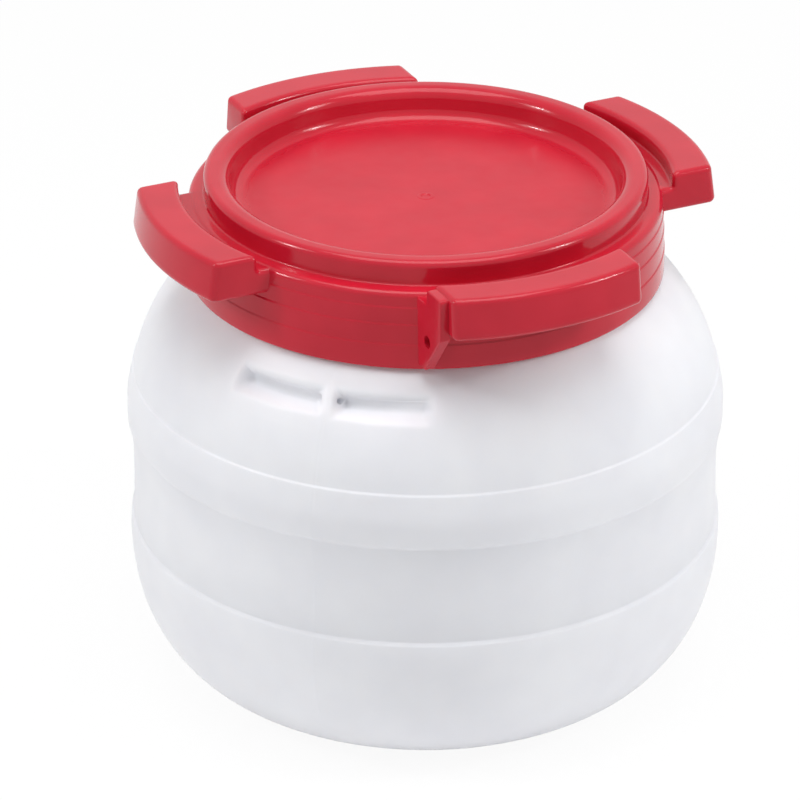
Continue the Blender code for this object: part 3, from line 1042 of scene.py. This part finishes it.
    def shell(self) -> bpy.types.Mesh:
        """The body as one closed surface of revolution with its pockets pressed in.

        In the rows of the pockets each point lies between the plain dome and
        the line through a pocket, by the column's share of a pocket. The
        parting line stands proud by a bell curve of the distance from it.
        """
        angles = self.angles()
        low, high = self.pocket_span
        ends = self.pocket_ends()
        grow = math.degrees(self.wall / self.mouth_radius)
        wide = np.array([ends[0] - grow, ends[-1] + grow])
        outer_share = self.pocket_share(angles, ends, self.pocket_soft_deg)
        inner_share = self.pocket_share(angles, wide, self.pocket_inner_soft_deg)
        blocks = [
            (self.lower_outline(low), None, 0.0 * outer_share),
            (evenly(self.dome(low, high, count=60), 58), self.pocket(0.0, low, high, 58), outer_share),
            (self.upper_outline(high, high), None, 0.0 * outer_share),
            (
                evenly(self.dome(low, high, self.wall, count=60), 26)[::-1],
                self.pocket(self.wall, low, high, 26)[::-1],
                inner_share,
            ),
            (self.inner_outline(low), None, 0.0 * outer_share),
        ]
        rows = []
        for plain, pressed, share in blocks:
            target = plain if pressed is None else pressed
            block = plain[:, None, :] + share[None, :, None] * (target - plain)[:, None, :]
            rows.append(block[1:] if rows else block)
        grid = np.concatenate(rows)
        radii, heights = grid[..., 0], grid[..., 1]
        outer_rows = len(blocks[0][0]) + len(blocks[1][0]) - 1
        seam_angles = np.radians([self.tab_deg, self.tab_deg - 180.0])
        away = np.abs(angles[None, :, None] - seam_angles[None, None, :]).min(axis=2)
        bell = np.exp(-((away * radii[:outer_rows] / self.parting_width) ** 2))
        side = np.clip(heights[:outer_rows] / self.parting_start, 0.0, 1.0)
        radii[:outer_rows] += self.parting_line * bell * side
        return revolve("drum_shell", radii, heights, angles)

    def seal_hole(self) -> bpy.types.Mesh:
        """The bar that makes the seal wire's hole through the tab."""
        turn = math.radians(self.tab_deg)
        radius = float(self.dome_radius(self.pocket_lip)) - self.hole_inset
        height = self.pocket_lip + self.pocket_fall + self.hole_lift
        centre = (radius * math.cos(turn), radius * math.sin(turn), height)
        length = radius * math.radians(self.tab_width_deg) + self.hole_run
        return round_bar("seal_hole", centre, self.hole_radius, length, turn)

    def build(self, finish: NaturalPolyethylene) -> bpy.types.Object:
        """Build the body, join its thread and dress it.

        Args:
            finish: The plastic of the body.

        Returns:
            The piece.
        """
        ridge = ThreadRidge()
        start = self.thread_top - ridge.pitch * self.thread_turns
        thread = ridge.mesh("neck_thread", self.neck_radius, True, start, self.thread_turns)
        shell = combine(self.shell(), self.seal_hole(), Joining.CUT)
        shell = combine(shell, thread, Joining.ADD)
        material = finish.material()
        return finished("blow_moulded_drum", shell, material, "drum", "drum_body")


# ---------------------------------------------------------------- lid


@dataclass
class ScrewLid:
    """The lid: rounded rim, dished floor, stepped skirt, four lugs and a seal eye.

    Attributes:
        foot: Height of the lid's lower edge.
        top: Height of its rim.
        gate: Radius, height over the floor and rounding of each corner of the gate's mark.
        first_lug_deg: Angle of the first lug's middle.
        eye_lug: Number of the lug that carries the seal eye.
        spacing: Longest piece of the outline, about, as in graded.
        columns: Points round the lid.
    """

    foot: float = 0.1513
    top: float = 0.1873
    floor_top: float = 0.1765
    floor_thickness: float = 0.0024
    roof: float = 0.1847
    ledge: float = 0.1790
    ledge_fall: float = 0.0004
    ledge_underside: float = 0.1764
    rim_radius: float = 0.0758
    recess_radius: float = 0.0675
    recess_draft: float = 0.0015
    recess_fillet: float = 0.0040
    crown_outer_round: float = 0.0022
    crown_inner_round: float = 0.0040
    plug_radius: float = 0.0696
    plug_taper: float = 0.0006
    channel_outer: float = 0.0729
    bore: float = 0.0789
    skirt_radius: float = 0.0811
    skirt_wall: float = 0.0022
    skirt_step: float = 0.0003
    skirt_shares: tuple[float, ...] = (0.80, 0.58, 0.32)
    skirt_step_round: float = 0.0003
    skirt_inner_round: float = 0.0006
    channel_mouth_round: float = 0.0004
    channel_round: float = 0.0002
    gate: tuple[tuple[float, float, float], ...] = (
        (0.0, -0.0002, 0.0),
        (0.0014, -0.0002, 0.0003),
        (0.0018, 0.0001, 0.0002),
        (0.0026, 0.0001, 0.0003),
        (0.0031, 0.0, 0.0004),
    )
    ledge_corner: float = 0.0020
    edge_round: float = 0.0008
    thread_start: float = 0.15641
    thread_turns: float = 1.75
    lug_count: int = 4
    first_lug_deg: float = 25.2
    lug_top: float = 0.1840
    lug_foot: float = 0.1698
    lug_top_radius: float = 0.0983
    lug_base_radius: float = 0.1003
    lug_half_width: float = 0.0344
    lug_gutter: float = 0.0033
    lug_embed: float = 0.0016
    lug_round: float = 0.0019
    lug_wall: float = 0.0026
    lug_rib: float = 0.0020
    lug_cells: int = 3
    gutter_drop: float = 0.0001
    inner_round: float = 0.0008
    cell_edge_round: float = 0.0007
    cell_run: float = 0.004
    eye_lug: int = 3
    eye_proud: float = 0.0030
    eye_embed: float = 0.0010
    eye_reach: float = 0.0152
    eye_top_drop: float = 0.0010
    eye_knee_drop: float = 0.0012
    eye_foot_reach: float = 0.0035
    eye_foot_lift: float = 0.0018
    eye_hole_radius: float = 0.0022
    eye_hole_reach: float = 0.0056
    eye_hole_drop: float = 0.0054
    eye_hole_run: float = 0.008
    eye_round: float = 0.0012
    eye_heel_round: float = 0.0010
    eye_edge_round: float = 0.0006
    spacing: float = 0.005
    lug_spacing: float = 0.0025
    eye_spacing: float = 0.003
    columns: int = 264

    def skirt_foot_radius(self) -> float:
        """Outer radius of the skirt's lower edge."""
        return self.skirt_radius + self.skirt_step * len(self.skirt_shares)

    def outline(self) -> np.ndarray:
        """Cross-section of the lid without lugs, from the dish over the rim to the plug.

        The dish has the shallow ring and dimple of the moulding's gate in its
        middle. The corners are written clockwise, as they are met from the
        dish outwards, and turned round at the end.
        """
        top, floor, ledge = self.top, self.floor_top, self.ledge
        drop = ledge - self.foot
        corners = [
            *((radius, floor + rise, rounding) for radius, rise, rounding in self.gate),
            (self.recess_radius - self.recess_draft, floor, self.recess_fillet),
            (self.recess_radius, top, self.crown_inner_round),
            (self.rim_radius, top, self.crown_outer_round),
            (self.rim_radius, ledge, self.edge_round),
            (self.skirt_radius, ledge - self.ledge_fall, self.ledge_corner),
        ]
        radius = self.skirt_radius
        for share in self.skirt_shares:
            height = self.foot + drop * share
            corners.append((radius, height + self.skirt_step, self.skirt_step_round))
            radius += self.skirt_step
            corners.append((radius, height - self.skirt_step, self.skirt_step_round))
        corners += [
            (radius, self.foot, self.edge_round),
            (self.bore, self.foot, self.edge_round),
            (self.bore, self.ledge_underside, self.skirt_inner_round),
            (self.channel_outer, self.ledge_underside, self.channel_mouth_round),
            (self.channel_outer, self.roof, self.channel_round),
            (self.plug_radius, self.roof, self.channel_round),
            (self.plug_radius - self.plug_taper, floor - self.floor_thickness, self.edge_round),
            (0, floor - self.floor_thickness, 0),
        ]
        return moulded_outline(corners, self.spacing)[::-1]

    def lug(self) -> bpy.types.Mesh:
        """One grip lug at +X: a rounded, curved block with three cells cored from below."""
        root = self.skirt_radius - self.lug_embed
        inner = self.skirt_radius + self.lug_gutter
        gutter = self.ledge - self.ledge_fall - self.gutter_drop
        corners = [
            (root, self.lug_foot, 0.0),
            (self.lug_base_radius, self.lug_foot, self.lug_round),
            (self.lug_top_radius, self.lug_top, self.lug_round),
            (inner, self.lug_top, self.lug_round),
            (inner, gutter, self.inner_round),
            (root, gutter, 0.0),
        ]
        line = moulded_outline(corners, self.lug_spacing, closed=True)
        half = self.lug_half_width
        block = rounded_prism("lug_block", line, -half, half, self.lug_round, True, root)
        wall, rounding = self.lug_wall, self.inner_round
        core = [
            (self.skirt_foot_radius(), self.lug_foot - self.cell_run, 0.0),
            (self.lug_base_radius - wall, self.lug_foot - self.cell_run, 0.0),
            (self.lug_base_radius - wall, self.lug_foot, 0.0),
            (self.lug_top_radius - wall, self.lug_top - wall, rounding),
            (inner + wall, self.lug_top - wall, rounding),
            (inner + wall, gutter - wall, rounding),
            (self.skirt_foot_radius(), gutter - wall, rounding),
        ]
        hollow = rounded_outline(np.array(core, float), closed=True)
        inside = 2 * (half - wall)
        cell = (inside - (self.lug_cells - 1) * self.lug_rib) / self.lug_cells
        cells = []
        for index in range(self.lug_cells):
            low = -inside / 2 + index * (cell + self.lug_rib)
            edge = self.cell_edge_round
            cells.append(rounded_prism("lug_cell", hollow, low, low + cell, edge, True))
        return combine(block, joined("lug_cells", cells), Joining.CUT)

    def seal_eye(self) -> bpy.types.Mesh:
        """The flat plate with the lid's seal eye, across the clockwise end of a lug at +X.

        A radius R about the axis meets the plate's middle plane, at the
        distance m from the axis, at sqrt(R squared - m squared) along X.
        """
        low = -self.lug_half_width - self.eye_proud
        high = -self.lug_half_width + self.eye_embed
        middle = (low + high) / 2
        radii = np.array(
            [
                self.bore + self.skirt_wall / 2,
                self.skirt_foot_radius(),
                self.skirt_radius + self.lug_gutter + self.lug_round,
            ]
        )
        root, foot, gutter = np.sqrt(radii**2 - middle**2)
        top = self.lug_top - self.eye_top_drop
        ledge = self.ledge - self.ledge_fall - self.eye_top_drop
        knee = self.lug_foot - self.eye_knee_drop
        heel = self.foot + self.eye_foot_lift
        corners = [
            (root, heel, 0.0),
            (foot + self.eye_foot_reach, heel, self.eye_heel_round),
            (foot + self.eye_reach, knee, self.eye_round),
            (foot + self.eye_reach, top, self.eye_round),
            (gutter, top, self.eye_round),
            (gutter, ledge, self.inner_round),
            (root, ledge, 0.0),
        ]
        line = moulded_outline(corners, self.eye_spacing, closed=True)
        plate = rounded_prism("eye_plate", line, low, high, self.eye_edge_round, False, root)
        centre = (foot + self.eye_hole_reach, middle, self.lug_foot - self.eye_hole_drop)
        hole = round_bar("eye_hole", centre, self.eye_hole_radius, self.eye_hole_run, 0.0)
        return combine(plate, hole, Joining.CUT)

    def build(self, finish: GlossyPolypropylene) -> bpy.types.Object:
        """Build the lid, join its thread, lugs and seal eye, and dress it.

        Args:
            finish: The plastic of the lid.

        Returns:
            The piece.
        """
        shell = turned_round("lid_shell", self.outline(), self.columns)
        lug = self.lug()
        with_eye = combine(lug.copy(), self.seal_eye(), Joining.ADD)
        lugs = []
        for index in range(self.lug_count):
            shape = with_eye if index == self.eye_lug else lug
            lugs.append(turned_copy(shape, self.first_lug_deg + 360 * index / self.lug_count))
        ridge = ThreadRidge()
        thread = ridge.mesh("lid_thread", self.bore, False, self.thread_start, self.thread_turns)
        shell = combine(shell, joined("additions", [*lugs, thread]), Joining.ADD)
        material = finish.material()
        return finished("red_screw_lid", shell, material, "lid", "screw_lid")


# ---------------------------------------------------------------- ring


@dataclass
class SealRing:
    """The flat sealing ring, with two shallow grooves in its sealing face."""

    inner_radius: float = 0.0700
    outer_radius: float = 0.0726
    base: float = 0.1822
    thickness: float = 0.0022
    edge_round: float = 0.0005
    groove_depth: float = 0.0002
    groove_half_width: float = 0.0003
    groove_half_floor: float = 0.0001
    columns: int = 240

    def build(self, finish: MouldedRubber) -> bpy.types.Object:
        """Build the ring and dress it.

        Args:
            finish: The rubber of the ring.

        Returns:
            The piece.
        """
        inner, outer, low = self.inner_radius, self.outer_radius, self.base
        high, depth = low + self.thickness, self.groove_depth
        third = (outer - inner) / 3
        wide, narrow = self.groove_half_width, self.groove_half_floor
        section = ((-wide, 0.0), (-narrow, depth), (narrow, depth), (wide, 0.0))
        grooves = [
            (middle + offset, low + lift, 0.0)
            for middle in (inner + third, outer - third)
            for offset, lift in section
        ]
        corners = [
            (inner, low, self.edge_round),
            *grooves,
            (outer, low, self.edge_round),
            (outer, high, self.edge_round),
            (inner, high, self.edge_round),
        ]
        line = rounded_outline(np.array(corners, float), closed=True, steps=5)
        mesh = turned_round("ring", line, self.columns, ring=True)
        material = finish.material()
        return finished("rubber_sealing_ring", mesh, material, "gasket", "lid_gasket")


# ---------------------------------------------------------------- studio


def aimed(
    name: str,
    data: bpy.types.Light | bpy.types.Camera,
    aim: tuple[float, float, float],
    distance: float,
    azimuth_deg: float,
    elevation_deg: float,
) -> bpy.types.Object:
    """Link a lamp or camera that faces a point from a distance.

    Args:
        name: Name of the object.
        data: The lamp or camera.
        aim: The point that it faces.
        distance: How far from the point it stands.
        azimuth_deg: Its direction from the point, to the right of -Y.
        elevation_deg: Its height angle seen from the point.

    Returns:
        The object.
    """
    azimuth, elevation = math.radians(azimuth_deg), math.radians(elevation_deg)
    flat = distance * math.cos(elevation)
    item = bpy.data.objects.new(name, data)
    item.location = (
        aim[0] + flat * math.sin(azimuth),
        aim[1] - flat * math.cos(azimuth),
        aim[2] + distance * math.sin(elevation),
    )
    item.rotation_euler = (math.pi / 2 - elevation, 0.0, azimuth)
    bpy.context.scene.collection.objects.link(item)
    return item


@dataclass(frozen=True)
class SoftBox:
    """One flat lamp that points at the drum.

    Attributes:
        name: Name of the lamp.
        azimuth_deg: Its direction from the drum, to the right of the camera.
        elevation_deg: Its height angle seen from the drum.
        distance: How far it stands from the drum.
        width: Its width.
        height: Its height.
        power: Its power in watts.
    """

    name: str
    azimuth_deg: float
    elevation_deg: float
    distance: float
    width: float
    height: float
    power: float

    def build(self, aim: tuple[float, float, float]) -> None:
        """Add the lamp to the scene.

        Args:
            aim: The point that it faces.
        """
        lamp = bpy.data.lights.new(self.name, "AREA")
        lamp.shape = "RECTANGLE"
        lamp.size, lamp.size_y, lamp.energy = self.width, self.height, self.power
        aimed(self.name, lamp, aim, self.distance, self.azimuth_deg, self.elevation_deg)


@dataclass
class Studio:
    """White floor and surroundings, soft lamps and the camera of the photograph.

    Attributes:
        camera_distance: From the camera to the point that it looks at.
        camera_aim: The point that it looks at.
        lens: Its focal length in millimetres.
        ambient: Strength of the even light from all round.
        backdrop_share: Share of plain white in what a camera sees of the floor.
        paper: Colour of the floor.
        aim: The point that the lamps face.
    """

    camera_distance: float = 1.6
    camera_elevation_deg: float = 27.13
    camera_aim: tuple[float, float, float] = (-0.0088, 0.0, 0.0982)
    lens: float = 206.0
    floor_size: float = 6.0
    ambient: float = 0.29
    backdrop_share: float = 0.93
    paper: str = "FAFAFA"
    aim: tuple[float, float, float] = (0.0, 0.0, 0.10)
    lamps: tuple[SoftBox, ...] = (
        SoftBox("overhead_softbox", 0.0, 84.0, 1.50, 1.30, 1.10, 17.0),
        SoftBox("left_softbox", -74.0, 34.0, 1.25, 0.30, 0.50, 2.4),
        SoftBox("right_softbox", 74.0, 34.0, 1.25, 0.30, 0.50, 3.0),
        SoftBox("left_strip", -76.0, 35.0, 1.20, 0.10, 0.12, 2.0),
        SoftBox("right_strip", 76.0, 35.0, 1.20, 0.10, 0.12, 2.0),
    )

    def seen(self, tree: bpy.types.NodeTree) -> bpy.types.NodeSocket:
        """One where a camera, mirror or see-through ray looks, and zero for lighting."""
        path = add_node(tree, "ShaderNodeLightPath").outputs
        seen = path["Is Camera Ray"]
        for kind in ("Is Glossy Ray", "Is Transmission Ray"):
            either = {0: seen, 1: path[kind]}
            seen = add_node(tree, "ShaderNodeMath", either, operation="MAXIMUM").outputs[0]
        return seen

    def surroundings(self) -> None:
        """White where it is seen, and an even, softer white for lighting."""
        world = bpy.data.worlds.new("white_studio")
        world.use_nodes = True
        bpy.context.scene.world = world
        tree = world.node_tree
        tree.nodes.clear()
        fill = add_node(tree, "ShaderNodeBackground", {0: WHITE, 1: self.ambient})
        white = add_node(tree, "ShaderNodeBackground", {0: WHITE, 1: 1.0})
        inputs = {0: self.seen(tree), 1: fill.outputs[0], 2: white.outputs[0]}
        both = add_node(tree, "ShaderNodeMixShader", inputs)
        add_node(tree, "ShaderNodeOutputWorld", {0: both.outputs[0]})

    def floor(self) -> None:
        """A wide sheet of matt white paper that keeps a soft shadow.

        Part of what a camera or mirror ray sees is plain white, and the rest
        is the lit paper, so the floor stays white and its shadow stays.
        """
        material, tree, output = blank_material("white_paper_floor")
        paper = add_node(tree, "ShaderNodeBsdfDiffuse", {"Color": linear(self.paper)})
        white = add_node(tree, "ShaderNodeEmission", {"Color": WHITE, "Strength": 1.0})
        part = {0: self.seen(tree), 1: self.backdrop_share}
        share = add_node(tree, "ShaderNodeMath", part, operation="MULTIPLY")
        inputs = {0: share.outputs[0], 1: paper.outputs[0], 2: white.outputs[0]}
        mixed = add_node(tree, "ShaderNodeMixShader", inputs)
        tree.links.new(mixed.outputs[0], output.inputs[0])
        half = self.floor_size / 2
        square = np.array([(-1.0, -1.0, 0.0), (1.0, -1.0, 0.0), (1.0, 1.0, 0.0), (-1.0, 1.0, 0.0)])
        mesh = new_mesh("paper_floor", half * square, [np.array([[0, 1, 2, 3]])])
        mesh.materials.append(material)
        as_object("paper_floor", mesh)

    def camera(self) -> None:
        """The camera at the photograph's place, looking down on the drum without roll."""
        lens = bpy.data.cameras.new("photo_camera")
        lens.lens, lens.sensor_width = self.lens, 36.0
        lens.clip_start, lens.clip_end = 0.05, 50.0
        place = (self.camera_aim, self.camera_distance, 0.0, self.camera_elevation_deg)
        bpy.context.scene.camera = aimed("photo_camera", lens, *place)

    def build(self) -> None:
        """Set up camera, floor, surroundings, lamps and the plain view transform."""
        self.camera()
        self.floor()
        self.surroundings()
        for lamp in self.lamps:
            lamp.build(self.aim)
        bpy.context.scene.view_settings.view_transform = "Standard"
        log.info("studio: %d lamps, a floor and a camera", len(self.lamps))


def main() -> None:
    """Set up the studio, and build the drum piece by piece."""
    logging.basicConfig(level=logging.INFO, format="%(name)s: %(message)s")
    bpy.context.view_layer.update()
    Studio().build()
    DrumBody().build(NaturalPolyethylene())
    ScrewLid().build(GlossyPolypropylene())
    SealRing().build(MouldedRubber())


if __name__ == "__main__":
    main()
